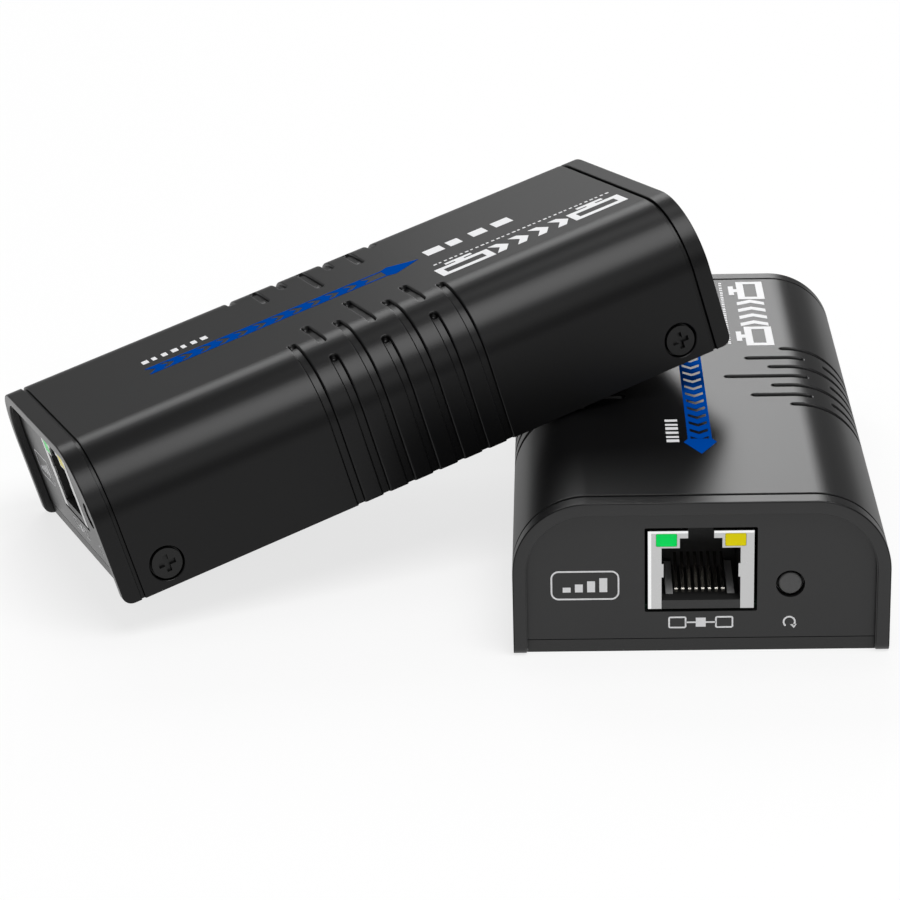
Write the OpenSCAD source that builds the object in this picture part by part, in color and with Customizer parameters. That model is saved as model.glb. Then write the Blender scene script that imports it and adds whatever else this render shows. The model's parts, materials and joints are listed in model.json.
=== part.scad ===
// HDMI extender kit: a sender box that lies flat and a matching receiver box that leans on it.
// One box is drawn about the middle of its underside, with +Z up, its network end towards -Y
// and its HDMI end towards +Y. Lengths are in millimetres.

/* [Housing] */
// Width of the housing
housing_w = 57; // [54:0.5:66]
// Length of the housing over both end rims
housing_l = 108; // [104:1:130]
// Height of the housing
housing_h = 25; // [24:0.5:32]
// Outer radius of the two top edges
shoulder_r = 11.5; // [8:0.5:13]
// Thickness of the housing's wall
wall_t = 2; // [1.8:0.1:2.4]
// Rounding of the leg corners at each end
leg_corner_r = 1.5; // [0.5:0.1:3]

/* [End rims] */
// How far an end panel sits behind the face of its rim
rim_depth = 1.5; // [0.8:0.1:3]
// From the rim's face to the middle of the seam line
seam_offset = 3.1; // [2:0.1:6]
// Width of the seam line
seam_w = 0.65; // [0.3:0.05:1]
// Depth of the seam line
seam_depth = 0.5; // [0.2:0.05:0.6]

/* [Grooves] */
// Distance between neighbouring grooves
groove_pitch = 4.4; // [3:0.1:6]
// Width of a groove
groove_w = 1.3; // [0.6:0.1:2]
// Depth of a groove
groove_depth = 0.5; // [0.2:0.05:0.8]
// Inwards from the edge of the flat top to the start of the outermost long grooves
groove_outer_reach = 0.6; // [0:0.1:4]
// The same for the two inner long grooves
groove_inner_reach = 3.1; // [0:0.1:6]
// The same for the two short grooves beside the middle one
groove_short_reach = 6.7; // [4:0.1:9]
// The same for the short groove in the middle
groove_middle_reach = 10.6; // [6:0.1:14]
// Angle round the shoulder at which the short grooves stop
groove_break_angle = 74; // [68:1:80]
// Angle round the shoulder at which the outer two go on
groove_resume_angle = 57; // [45:1:62]
// Angle round the shoulder at which the middle one goes on
groove_middle_resume_angle = 54; // [40:1:60]

/* [Bottom plate] */
// Thickness of the bottom plate
plate_t = 2; // [1.5:0.1:3]
// Gap between the plate and each leg of the housing
plate_gap = 0.15; // [0.1:0.05:0.3]
// Height of the plate's side flanges above its floor
flange_h = 5; // [3:0.5:7]
// Thickness of the side flanges
flange_t = 1.4; // [1:0.1:2]
// Length of a screw boss along the plate
boss_l = 7; // [6:0.5:10]
// Depth of a screw boss, inwards
boss_depth = 5; // [4:0.1:5.2]
// Height of a screw boss
boss_h = 7.4; // [7:0.1:9]
// Height of the posts that carry the board
post_h = 3.4; // [2.5:0.1:5]
// Diameter of a post
post_d = 5; // [4:0.1:6]
// Height of the ridge behind the foot of each end panel
ridge_h = 1.2; // [0.8:0.1:2]
// Thickness of that ridge
ridge_t = 1; // [0.8:0.1:1.5]

/* [End panels] */
// Thickness of an end panel
panel_t = 1.2; // [1:0.1:1.6]
// Depth of the slot in the wall that holds a panel's edge
slot_depth = 0.8; // [0.5:0.1:1]
// Gap round a panel in its slot, and under its foot
panel_gap = 0.12; // [0.1:0.01:0.2]
// Gap round a socket in its cut-out
socket_gap = 0.5; // [0.2:0.05:0.7]

/* [Board] */
// Thickness of the circuit board
board_t = 1.6; // [1:0.1:2]
// Gap between the board and what stands round it
board_gap = 0.5; // [0.3:0.1:1]
// From each side of the board to the middle of the posts there
post_side_inset = 3.25; // [3:0.05:5]
// From the board's network end to the middle of the posts there
post_network_inset = 7.8; // [5:0.1:14]
// From the board's HDMI end to the middle of the other posts
post_hdmi_inset = 20.8; // [20:0.1:25]

/* [Screws] */
// From the end of the housing to a side screw
side_screw_inset = 8.4; // [7:0.1:12]
// Height of the side screws above the underside
side_screw_z = 3.9; // [3.5:0.1:4.5]
// Diameter of a side screw's head
side_head_d = 4.9; // [4:0.1:5.2]
// Thickness of a side screw's head
side_head_t = 1; // [0.8:0.05:1.2]
// Width of the ring round a side screw's head
side_head_gap = 0.3; // [0.15:0.05:0.4]
// Diameter of a side screw's shank
side_shank_d = 2.4; // [2:0.1:3]
// Length of a side screw's shank in its boss
side_grip = 4; // [3:0.1:4.2]
// Diameter of a board screw's head
board_head_d = 4.4; // [3.6:0.1:4.8]
// Thickness of a board screw's head
board_head_t = 1.5; // [1:0.1:2]
// Diameter of a board screw's shank
board_shank_d = 2; // [1.6:0.1:2.4]
// Length of a board screw's shank in its post
board_grip = 2.8; // [2:0.1:4]
// Radial gap round a shank
shank_gap = 0.05; // [0.03:0.01:0.1]
// Width of a screw's cross recess
cross_w = 0.8; // [0.5:0.1:1]
// Length of a screw's cross recess
cross_l = 2.8; // [2:0.1:3.2]
// Depth of a screw's cross recess
cross_depth = 0.6; // [0.4:0.05:0.7]

/* [Network socket] */
// Width of the shield
jack_w = 16; // [15:0.1:17]
// Height of the shield
jack_h = 12.8; // [12:0.1:14]
// Length of the shield
jack_l = 21.3; // [18:0.1:24]
// Thickness of the shield's sheet
sheet_t = 0.3; // [0.2:0.05:0.4]
// Width of the mouth
mouth_w = 11.9; // [11.7:0.05:12.2]
// Height of the lip under the mouth
mouth_lip_h = 1.4; // [1:0.1:1.8]
// Height of the mouth's top above the board
mouth_top = 10; // [9:0.1:10.2]
// Depth of the mouth
mouth_depth = 14; // [12:0.5:16]
// Width of the wide step above the mouth
latch_step_w = 6.4; // [6:0.1:6.8]
// Height of that step
latch_step_h = 1.6; // [1.4:0.1:2]
// Width of the narrow notch for the latch
latch_notch_w = 3.9; // [3.4:0.1:4.4]
// How far that notch runs back in the shield's top
latch_notch_l = 3; // [2:0.5:5]
// How far the spring on each side of the mouth stands into it
side_spring_w = 0.3; // [0.1:0.05:0.35]
// Height of a side spring
side_spring_h = 2.2; // [1.5:0.1:3]
// Height of a side spring's foot above the board
side_spring_z = 5.2; // [4.5:0.1:6]
// Width of a light window
window_w = 3.1; // [2.6:0.1:3.4]
// Height of a light window
window_h = 2; // [1.6:0.1:2.2]
// From the side of the shield to a light window
window_margin = 1.25; // [1.05:0.05:1.45]
// From the top of the shield down to a light window
window_drop = 0.5; // [0.45:0.05:1]
// Length of a light window's block
window_l = 9; // [6:0.5:12]
// Number of contacts
contact_count = 8; // [4:1:8]
// Distance between contacts
contact_pitch = 1.02; // [0.9:0.01:1.1]
// Width of a contact
contact_w = 0.45; // [0.35:0.05:0.6]
// Thickness of a contact
contact_t = 0.3; // [0.2:0.05:0.35]
// Outer radius of the bend at the front of a contact
contact_bend_r = 0.45; // [0.4:0.05:0.6]
// Depth in the mouth at which the contacts bend upwards
contact_front = 4.6; // [1.5:0.1:5.5]
// Depth in the mouth at which they end
contact_back = 10.5; // [8:0.5:12]
// Height of their free ends above the board
contact_rise = 5; // [4:0.1:5.1]
// Width of a rail beside the contacts
rail_w = 1.2; // [0.8:0.1:1.4]
// Height that a rail gains towards the back
rail_rise = 0.8; // [0.4:0.1:1.2]
// Width of a shield leg that goes through the board
shield_leg_w = 1.6; // [1:0.1:2]

/* [Reset switch] */
// From the side of the board to the middle of the reset button
reset_inset = 7.35; // [6.35:0.05:8.85]
// Height of the reset button above the board
reset_z = 3.9; // [3.5:0.1:4.5]
// Diameter of the button's stem
stem_d = 3.55; // [3:0.05:3.8]
// Diameter of its hole in the panel
stem_hole_d = 4.4; // [4:0.1:5]
// Radial gap between the stem and the switch body
stem_gap = 0.05; // [0.03:0.01:0.1]
// How far the stem's tip stays behind the panel's face
stem_inset = 0.2; // [0:0.05:0.5]
// Travel of the button
stem_travel = 0.3; // [0.2:0.05:0.4]
// Rounding of the stem's tip
stem_tip_r = 0.3; // [0.1:0.05:0.5]
// Width of the switch body
switch_w = 6; // [5.5:0.1:6.4]
// Height of the switch body
switch_h = 6.9; // [6.6:0.1:7.5]
// Depth of the switch body
switch_depth = 3.5; // [3:0.1:4.5]
// From the panel back to the switch's cover
switch_setback = 0.8; // [0.5:0.1:1.5]

/* [HDMI socket] */
// Width of the opening
hdmi_mouth_w = 14; // [13.9:0.05:14.3]
// Height of the opening
hdmi_mouth_h = 4.6; // [4.5:0.05:4.8]
// Width of each slanted lower corner
hdmi_slant_w = 1.9; // [1.5:0.1:2.5]
// Height of each slanted lower corner
hdmi_slant_h = 1.7; // [1.2:0.1:2.5]
// Length of the shell
hdmi_l = 11.6; // [10:0.1:14]
// Height of the opening's floor above the board
hdmi_floor_z = 1; // [0.6:0.1:2]
// Length of the solid block at the back
hdmi_block_l = 4; // [3:0.1:5]
// Width of the tongue
tongue_w = 11; // [10.6:0.1:11.4]
// Thickness of the tongue
tongue_t = 1.2; // [0.9:0.1:1.4]
// Height of the tongue's underside above the opening's floor
tongue_z = 1.6; // [1.3:0.1:1.8]
// From the shell's face back to the tongue
tongue_setback = 1.2; // [0.8:0.1:2]
// Number of contacts in the upper row, one more than in the lower
hdmi_contact_count = 10; // [6:1:10]
// Distance between contacts in a row
hdmi_contact_pitch = 1; // [0.9:0.05:1.05]
// Width of a contact
hdmi_contact_w = 0.4; // [0.3:0.05:0.5]
// Thickness of a contact
hdmi_contact_t = 0.15; // [0.1:0.01:0.2]

/* [Infrared socket] */
// From the side of the board to the middle of the socket
infrared_inset = 7.85; // [7.65:0.05:8.25]
// Diameter of its bore
infrared_bore_d = 3.6; // [3.5:0.05:3.7]
// Length of its bore
infrared_bore_l = 10; // [8:0.5:11]
// Diameter of its nose
infrared_nose_d = 6; // [5.4:0.1:6.4]
// Width and height of its body
infrared_w = 6.4; // [6:0.1:6.8]
// Length of its body behind the panel
infrared_l = 12; // [11:0.5:13]

/* [Power socket] */
// From the other side of the board to the middle of the socket
power_inset = 6.85; // [6.25:0.05:7.05]
// Diameter of the barrel opening
power_bore_d = 6.4; // [6:0.1:6.6]
// Depth of the barrel opening
power_bore_l = 10; // [8:0.5:11]
// Diameter of the centre pin
power_pin_d = 2.1; // [1.6:0.1:2.5]
// From the socket's face back to the pin's tip
power_pin_setback = 0.8; // [0.5:0.1:1.5]
// Width of the body
power_w = 9; // [8.6:0.1:9.4]
// Height of the body
power_h = 11; // [10.6:0.1:11.5]
// Length of the body
power_l = 14.2; // [13:0.1:16]
// Height of the barrel's axis above the board
power_axis_z = 6.5; // [6:0.1:7]
// Diameter of the hole in the panel
power_hole_d = 8; // [7:0.1:8.4]

/* [Power light] */
// From the side of the board to the middle of the light, beside the infrared socket
light_inset = 1.95; // [1.55:0.05:2.15]
// Height of the light above the board
light_z = 3.2; // [2.6:0.1:5]
// Diameter of the light
light_d = 3; // [2:0.1:3]
// Radial gap between the light and the panel
light_gap = 0.15; // [0.1:0.05:0.3]
// How far its dome stands out of the panel
light_out = 0.5; // [0:0.1:0.8]
// Length of the light behind the panel's inner face
light_l = 3.4; // [2.5:0.1:5]
// Thickness of its wire leads
lead_t = 0.5; // [0.4:0.05:0.6]
// Distance between its leads
lead_pitch = 1.3; // [1.1:0.1:1.6]

/* [Board parts] */
// Side of the main chip
chip_w = 18; // [14:1:22]
// Thickness of the main chip
chip_t = 1.3; // [0.9:0.1:2]
// Side of the heat sink
sink_w = 20; // [16:1:24]
// Thickness of the heat sink's base
sink_base_t = 1.6; // [1:0.1:2.5]
// Height of the heat sink's fins
fin_h = 6; // [3:0.5:8]
// Thickness of a fin
fin_t = 0.9; // [0.6:0.1:1.2]
// Number of fins
fin_count = 8; // [5:1:9]
// Width of a memory chip
memory_w = 8; // [7:0.5:9]
// Length of a memory chip
memory_l = 13; // [10:0.5:13]
// Thickness of a memory chip
memory_t = 1.1; // [0.8:0.1:1.5]
// Distance between the memory chips
memory_pitch = 10.5; // [10:0.5:12]
// Length of the line transformer
transformer_l = 15.2; // [12:0.1:18]
// Width of the line transformer
transformer_w = 7.2; // [6:0.1:8]
// Height of the line transformer
transformer_h = 5.8; // [4:0.1:7]
// Number of leads along each side of the line transformer
transformer_lead_count = 12; // [6:1:12]
// Distance between those leads
transformer_lead_pitch = 1.1; // [1:0.05:1.2]
// How far those leads stand out
transformer_lead_out = 1.1; // [0.8:0.1:1.5]
// Length of the crystal's can
crystal_l = 10.2; // [8:0.1:11]
// Width of the crystal's can
crystal_w = 3.7; // [3:0.1:4.5]
// Height of the crystal's can
crystal_h = 3.2; // [2.5:0.1:5]
// Width of the crystal's rim
crystal_rim_w = 0.5; // [0.3:0.1:0.8]
// Thickness of the crystal's rim
crystal_rim_t = 0.4; // [0.3:0.1:0.6]
// Diameter of a capacitor's can
capacitor_d = 6.3; // [5:0.1:7]
// Height of a capacitor's can
capacitor_h = 7.7; // [5:0.1:10]
// Side of a capacitor's base
capacitor_base_w = 6.6; // [6.4:0.1:7.4]
// Thickness of a capacitor's base
capacitor_base_t = 1; // [0.6:0.1:1.5]
// Distance between the paired capacitors
capacitor_pitch = 8; // [7.5:0.1:9]
// Side of the power choke
choke_w = 7; // [5:0.5:8]
// Height of the power choke
choke_h = 4; // [3:0.1:5]
// Thickness of the choke's base
choke_base_t = 0.8; // [0.5:0.1:1.2]

/* [Leaning receiver] */
// From the sender's centre line to where the slope of the receiver's underside meets the ground
corner_x = 108.7; // [95:0.1:115]
// Along the sender, from its middle to the receiver's corner on the ground
corner_y = 5.9; // [-10:0.1:20]
// Turn of the receiver on its slope
receiver_turn = -67.1; // [-85:0.1:-50]
// Gap between the receiver's underside and the sender's shoulder
rest_gap = 0.3; // [0.2:0.05:0.5]

/* [Hidden] */
$fn = 96;
// How far a cut runs past the surface that it opens
overrun = 1;
// Play between moulded or folded pieces that lie against each other
seat_gap = 0.05;
// Small rounding of the window blocks and cut-out corners
corner_r = 0.25;

// Places along the box, measured from its middle
panel_face_y = housing_l / 2 - rim_depth;
panel_back_y = panel_face_y - panel_t;
side_screw_y = housing_l / 2 - side_screw_inset;
// Places across the box
flat_half_w = housing_w / 2 - shoulder_r;
plate_half_w = housing_w / 2 - wall_t - plate_gap;
board_half_w = plate_half_w - boss_depth - board_gap;
// Heights above the underside
board_z = plate_t + post_h;
board_top = board_z + board_t;
panel_foot_z = plate_t + panel_gap;
board_end_y = panel_back_y - board_gap;
// Places of the posts, and of what shows through the end panels
post_x = board_half_w - post_side_inset;
post_network_y = board_end_y - post_network_inset;
post_hdmi_y = board_end_y - post_hdmi_inset;
window_x = jack_w / 2 - window_margin - window_w / 2;
reset_x = board_half_w - reset_inset;
infrared_x = board_half_w - infrared_inset;
power_x = board_half_w - power_inset;
light_x = board_half_w - light_inset;
// Grooves from the network end to the HDMI end
groove_reaches = [
    groove_outer_reach, groove_short_reach, groove_inner_reach, groove_middle_reach,
    groove_inner_reach, groove_short_reach, groove_outer_reach
];
groove_middle = (len(groove_reaches) - 1) / 2;
// Chips and coils on the board, from the middle of the box
transformer_y = -panel_face_y + jack_l + transformer_w / 2 + transformer_lead_out + 4 * board_gap;
sink_y = transformer_y + transformer_w / 2 + transformer_lead_out + sink_w / 2 + 4 * board_gap;
memory_y = sink_y + sink_w / 2 + memory_l / 2 + 2 * board_gap;
side_part_x = board_half_w - capacitor_base_w / 2 - board_gap;
choke_y = sink_y + sink_w / 2;

// Helpers

// Draws an outline given in X and Z, and extrudes it along Y about the middle
module along_y(l) {
    rotate([90, 0, 0])
        linear_extrude(l, center = true)
            children();
}

// Draws an outline given in Y and Z, and extrudes it along X about the middle
module along_x(l) {
    rotate([90, 0, 90])
        linear_extrude(l, center = true)
            children();
}

// A cylinder that points inwards along +Y from the origin
module inward_cylinder(d, l) {
    rotate([-90, 0, 0])
        cylinder(d = d, h = l);
}

// Outline of the housing: straight legs, round shoulders and a flat top
module arch(w, h, r) {
    intersection() {
        union() {
            translate([-w / 2, 0])
                square([w, h - r]);
            translate([-w / 2 + r, 0])
                square([w - 2 * r, h]);
            for (side = [-1, 1])
                translate([side * (w / 2 - r), h - r])
                    circle(r);
        }
        translate([-w / 2, 0])
            square([w, h]);
    }
}

// The housing's outline drawn in from its outer faces, and run out below
module inset_arch(inset) {
    translate([0, -overrun])
        arch(housing_w - 2 * inset, housing_h - inset + overrun, shoulder_r - inset);
}

// The outer layer of the housing down to a depth, for cuts that follow its surface
module skin(depth, l) {
    along_y(l)
        difference() {
            inset_arch(-overrun);
            translate([0, -overrun])
                inset_arch(depth);
            inset_arch(depth);
        }
}

// Rectangle with round corners, about its middle
module rounded_rect(w, h, r) {
    square([w - 2 * r, h], center = true);
    square([w, h - 2 * r], center = true);
    for (side = [-1, 1], level = [-1, 1])
        translate([side * (w / 2 - r), level * (h / 2 - r)])
            circle(r);
}

// Turns a piece drawn with its face at Y 0 and its depth along +Y into either end of the box
module at_network_end() {
    translate([0, -panel_face_y, board_top])
        children();
}

module at_hdmi_end() {
    translate([0, panel_face_y, board_top])
        rotate([0, 0, 180])
            children();
}

// The receiver's underside slopes from the ground up to the sender's shoulder, and the box stands
// on one corner. That corner is rounded, so the box slides down its own slope until the corner's
// arc touches the ground.
shoulder_dx = corner_x - flat_half_w;
shoulder_dz = housing_h - shoulder_r;
receiver_lean = atan2(shoulder_dz, shoulder_dx) + asin((shoulder_r + rest_gap) / norm([shoulder_dx, shoulder_dz]));
corner_up = [-sin(receiver_lean) * sin(receiver_turn), cos(receiver_lean)];
corner_drop = leg_corner_r * (corner_up[0] + corner_up[1] - norm(corner_up));
corner_slide = corner_drop / sin(receiver_lean);

module leaning() {
    translate([-corner_x, corner_y, 0])
        rotate([0, -receiver_lean, 0])
            translate([-corner_slide, 0, 0])
                rotate([0, 0, receiver_turn])
                    translate([housing_w / 2, housing_l / 2, 0])
                        children();
}

// Top shell

// Cuts the square corner of both legs at one end down to a round one
module leg_corner_cut() {
    translate([0, -housing_l / 2, 0])
        difference() {
            translate([-housing_w / 2 - overrun, -overrun, -overrun])
                cube([housing_w + 2 * overrun, leg_corner_r + overrun, leg_corner_r + overrun]);
            translate([-housing_w / 2 - 2 * overrun, leg_corner_r, leg_corner_r])
                rotate([0, 90, 0])
                    cylinder(r = leg_corner_r, h = housing_w + 4 * overrun);
        }
}

// A groove that starts on the flat top and runs over the shoulder and down the side
module long_groove(reach) {
    translate([flat_half_w - reach + groove_w / 2, 0, -overrun]) {
        cylinder(d = groove_w, h = housing_h + 2 * overrun);
        translate([0, -groove_w / 2, 0])
            cube([housing_w, groove_w, housing_h + 2 * overrun]);
    }
}

// A groove that starts on the flat top and stops on the shoulder
module short_groove(reach) {
    stop_x = flat_half_w + shoulder_r * cos(groove_break_angle) - groove_w / 2;
    start_x = flat_half_w - reach + groove_w / 2;
    for (x = [start_x, stop_x])
        translate([x, 0, housing_h / 2])
            cylinder(d = groove_w, h = housing_h);
    translate([start_x, -groove_w / 2, housing_h / 2])
        cube([stop_x - start_x, groove_w, housing_h]);
}

// The rest of a short groove, from an angle round the shoulder down to the foot
module lower_groove(angle) {
    translate([flat_half_w, 0, housing_h - shoulder_r])
        rotate([0, -angle, 0])
            translate([0, 0, -groove_w / 2]) {
                rotate([0, 90, 0])
                    cylinder(d = groove_w, h = shoulder_r + overrun);
                translate([-housing_w, -groove_w / 2, -housing_w])
                    cube([2 * housing_w, groove_w, housing_w]);
            }
}

module groove_row() {
    for (i = [0 : len(groove_reaches) - 1])
        translate([0, (i - groove_middle) * groove_pitch, 0])
            if (i % 2 == 0) {
                long_groove(groove_reaches[i]);
            } else {
                short_groove(groove_reaches[i]);
                lower_groove(i == groove_middle ? groove_middle_resume_angle : groove_resume_angle);
            }
}

module groove_cuts() {
    intersection() {
        skin(groove_depth, (len(groove_reaches) + 1) * groove_pitch);
        for (side = [0, 1])
            mirror([side, 0, 0])
                groove_row();
    }
}

// Hole and sunk ring for one side screw, through the leg on the +X side
module side_screw_hole() {
    translate([housing_w / 2, side_screw_y, side_screw_z])
        rotate([0, -90, 0]) {
            translate([0, 0, -overrun])
                cylinder(d = side_shank_d + 4 * shank_gap, h = wall_t + 2 * overrun);
            translate([0, 0, -overrun])
                cylinder(d = side_head_d + 2 * side_head_gap, h = side_head_t + overrun);
        }
}

module top_shell() {
    color("#262626")
        difference() {
            along_y(housing_l)
                arch(housing_w, housing_h, shoulder_r);
            along_y(housing_l + 2 * overrun)
                inset_arch(wall_t);
            for (end = [0, 1])
                mirror([0, end, 0]) {
                    translate([0, -housing_l / 2 + seam_offset, 0])
                        skin(seam_depth, seam_w);
                    translate([0, -panel_face_y + panel_t / 2, 0])
                        along_y(panel_t + 2 * panel_gap)
                            inset_arch(wall_t - slot_depth);
                    leg_corner_cut();
                    for (side = [0, 1])
                        mirror([side, 0, 0])
                            side_screw_hole();
                }
            groove_cuts();
        }
}

// Bottom plate

// Draws its child over the middle of each post
module at_posts() {
    for (x = [-post_x, post_x], y = [-post_network_y, post_hdmi_y])
        translate([x, y, 0])
            children();
}

module bottom_plate() {
    color("#2a2a2a")
        difference() {
            union() {
                translate([-plate_half_w, -panel_face_y, 0])
                    cube([2 * plate_half_w, 2 * panel_face_y, plate_t]);
                for (side = [0, 1])
                    mirror([side, 0, 0]) {
                        translate([plate_half_w - flange_t, -board_end_y, 0])
                            cube([flange_t, 2 * board_end_y, plate_t + flange_h]);
                        for (end = [-1, 1])
                            translate([plate_half_w - boss_depth, end * side_screw_y - boss_l / 2, 0])
                                cube([boss_depth, boss_l, boss_h]);
                    }
                for (end = [0, 1])
                    mirror([0, end, 0])
                        translate([-board_half_w, panel_back_y - panel_gap - ridge_t, 0])
                            cube([2 * board_half_w, ridge_t, plate_t + ridge_h]);
                at_posts()
                    translate([0, 0, plate_t])
                        cylinder(d = post_d, h = post_h);
            }
            at_posts()
                translate([0, 0, board_z - board_grip - seat_gap])
                    cylinder(d = board_shank_d + 2 * shank_gap, h = board_grip + overrun);
            for (side = [0, 1], end = [0, 1])
                mirror([side, 0, 0])
                    mirror([0, end, 0])
                        translate([plate_half_w - side_grip - seat_gap, side_screw_y, side_screw_z])
                            rotate([0, 90, 0])
                                cylinder(d = side_shank_d + 2 * shank_gap, h = side_grip + overrun);
        }
}

// End panels

// A panel before its openings are cut, with its face at Y 0
module blank_panel() {
    translate([0, panel_t / 2, 0])
        intersection() {
            along_y(panel_t)
                inset_arch(wall_t - slot_depth + panel_gap);
            translate([-housing_w / 2, -panel_t, panel_foot_z])
                cube([housing_w, 2 * panel_t, housing_h]);
        }
}

module lan_panel() {
    color("#383838")
        difference() {
            translate([0, -panel_face_y, 0])
                blank_panel();
            at_network_end() {
                translate([0, 0, jack_h / 2])
                    along_y(4 * panel_t)
                        rounded_rect(jack_w + 2 * socket_gap, jack_h + 2 * socket_gap, corner_r);
                translate([reset_x, -overrun, reset_z])
                    inward_cylinder(stem_hole_d, panel_t + 2 * overrun);
            }
        }
}

module hdmi_panel() {
    color("#383838")
        difference() {
            translate([0, panel_face_y, 0])
                rotate([0, 0, 180])
                    blank_panel();
            at_hdmi_end() {
                translate([0, 0, hdmi_floor_z + hdmi_mouth_h / 2])
                    along_y(4 * panel_t)
                        rounded_rect(
                            hdmi_mouth_w + 2 * sheet_t + 2 * socket_gap,
                            hdmi_mouth_h + 2 * sheet_t + 2 * socket_gap,
                            2 * corner_r
                        );
                translate([infrared_x, -overrun, infrared_w / 2])
                    inward_cylinder(infrared_nose_d + 2 * panel_gap, panel_t + 2 * overrun);
                translate([-power_x, -overrun, power_axis_z])
                    inward_cylinder(power_hole_d, panel_t + 2 * overrun);
                translate([light_x, -overrun, light_z])
                    inward_cylinder(light_d + 2 * light_gap, panel_t + 2 * overrun);
            }
        }
}

// Screws

// A screw along +Z, with its head's underside at Z 0
module screw(head_d, head_t, shank_d, shank_l) {
    difference() {
        union() {
            cylinder(d = head_d, h = head_t);
            translate([0, 0, -shank_l])
                cylinder(d = shank_d, h = shank_l + head_t / 2);
        }
        for (turn = [0, 90])
            rotate([0, 0, turn])
                translate([-cross_l / 2, -cross_w / 2, head_t - cross_depth])
                    cube([cross_l, cross_w, cross_depth + overrun]);
    }
}

module side_screws() {
    color("#1c1c1c")
        for (side = [0, 1], end = [0, 1])
            mirror([side, 0, 0])
                mirror([0, end, 0])
                    translate([housing_w / 2 - side_head_t, side_screw_y, side_screw_z])
                        rotate([0, 90, 0])
                            screw(side_head_d, side_head_t, side_shank_d, wall_t - side_head_t + plate_gap + side_grip);
}

module board_screws() {
    color("silver")
        at_posts()
            translate([0, 0, board_top])
                screw(board_head_d, board_head_t, board_shank_d, board_t + board_grip);
}

// Circuit board

module circuit_board() {
    leg_slot_l = shield_leg_w + 2 * panel_gap;
    leg_slot_w = sheet_t + 2 * panel_gap;
    color("darkgreen")
        difference() {
            translate([-board_half_w, -board_end_y, board_z])
                cube([2 * board_half_w, 2 * board_end_y, board_t]);
            at_posts()
                translate([0, 0, board_z - overrun])
                    cylinder(d = board_shank_d + 4 * shank_gap, h = board_t + 2 * overrun);
            for (side = [-1, 1])
                translate([
                    side * (jack_w / 2 - sheet_t / 2) - leg_slot_w / 2,
                    -panel_face_y + jack_l / 2 - leg_slot_l / 2,
                    board_z - overrun
                ])
                    cube([leg_slot_w, leg_slot_l, board_t + 2 * overrun]);
        }
}

// Network socket, drawn with its face at Y 0, its depth along +Y and the board's top at Z 0

// Outline in X and Z of the mouth with its stepped latch way
module mouth_outline(bottom, top) {
    translate([-mouth_w / 2, bottom])
        square([mouth_w, mouth_top - bottom]);
    translate([-latch_step_w / 2, bottom])
        square([latch_step_w, mouth_top + latch_step_h - bottom]);
    translate([-latch_notch_w / 2, bottom])
        square([latch_notch_w, top - bottom]);
}

// Outline in X and Z of the light window on one side, grown by a gap
module window_outline(side, gap) {
    translate([side * window_x, jack_h - window_drop - window_h / 2])
        rounded_rect(window_w + 2 * gap, window_h + 2 * gap, corner_r);
}

module lan_shield() {
    color("silver")
        at_network_end() {
            for (side = [-1, 1])
                translate([side * (mouth_w - side_spring_w) / 2 - side_spring_w / 2, 0, side_spring_z])
                    cube([side_spring_w, sheet_t, side_spring_h]);
            difference() {
                union() {
                    translate([-jack_w / 2, 0, 0])
                        cube([jack_w, jack_l, jack_h]);
                    for (side = [-1, 1])
                        translate([
                            side * (jack_w / 2 - sheet_t / 2) - sheet_t / 2,
                            jack_l / 2 - shield_leg_w / 2,
                            -board_t - sheet_t
                        ])
                            cube([sheet_t, shield_leg_w, board_t + 2 * sheet_t]);
                }
                translate([-jack_w / 2 + sheet_t, sheet_t, -overrun])
                    cube([jack_w - 2 * sheet_t, jack_l - 2 * sheet_t, jack_h - sheet_t + overrun]);
                along_y(4 * sheet_t)
                    mouth_outline(-overrun, jack_h + overrun);
                translate([-latch_notch_w / 2, -overrun, mouth_top])
                    cube([latch_notch_w, latch_notch_l + overrun, jack_h]);
                for (side = [-1, 1])
                    along_y(4 * sheet_t)
                        window_outline(side, seat_gap);
            }
        }
}

// Side view of a rail, which rises towards the back
module rail_profile() {
    polygon([
        [contact_front / 2, mouth_lip_h / 2],
        [mouth_depth, mouth_lip_h / 2],
        [mouth_depth, mouth_lip_h + rail_rise],
        [contact_front / 2, mouth_lip_h]
    ]);
}

module lan_housing() {
    inner_half_w = jack_w / 2 - sheet_t - seat_gap;
    rail_x = contact_count * contact_pitch / 2 + rail_w / 2;
    color("#1a1a1a")
        at_network_end() {
            difference() {
                union() {
                    translate([-inner_half_w, sheet_t + seat_gap, 0])
                        cube([2 * inner_half_w, jack_l - 2 * sheet_t - 2 * seat_gap, jack_h - sheet_t - seat_gap]);
                    translate([-mouth_w / 2 + seat_gap, 0, 0])
                        cube([mouth_w - 2 * seat_gap, 2 * sheet_t, mouth_lip_h]);
                }
                translate([0, mouth_depth / 2 - overrun / 2, 0])
                    along_y(mouth_depth + overrun)
                        mouth_outline(mouth_lip_h, mouth_top + latch_step_h);
                translate([0, mouth_depth / 4, 0])
                    along_y(mouth_depth / 2 + overrun)
                        mouth_outline(mouth_lip_h, jack_h);
                translate([-mouth_w / 2, contact_front / 2, mouth_lip_h / 2])
                    cube([mouth_w, mouth_depth - contact_front / 2, mouth_lip_h]);
                for (side = [-1, 1])
                    along_y(2 * window_l + 2 * seat_gap)
                        window_outline(side, seat_gap);
            }
            for (side = [-1, 1])
                translate([side * rail_x, 0, 0])
                    along_x(rail_w)
                        rail_profile();
        }
}

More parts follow.
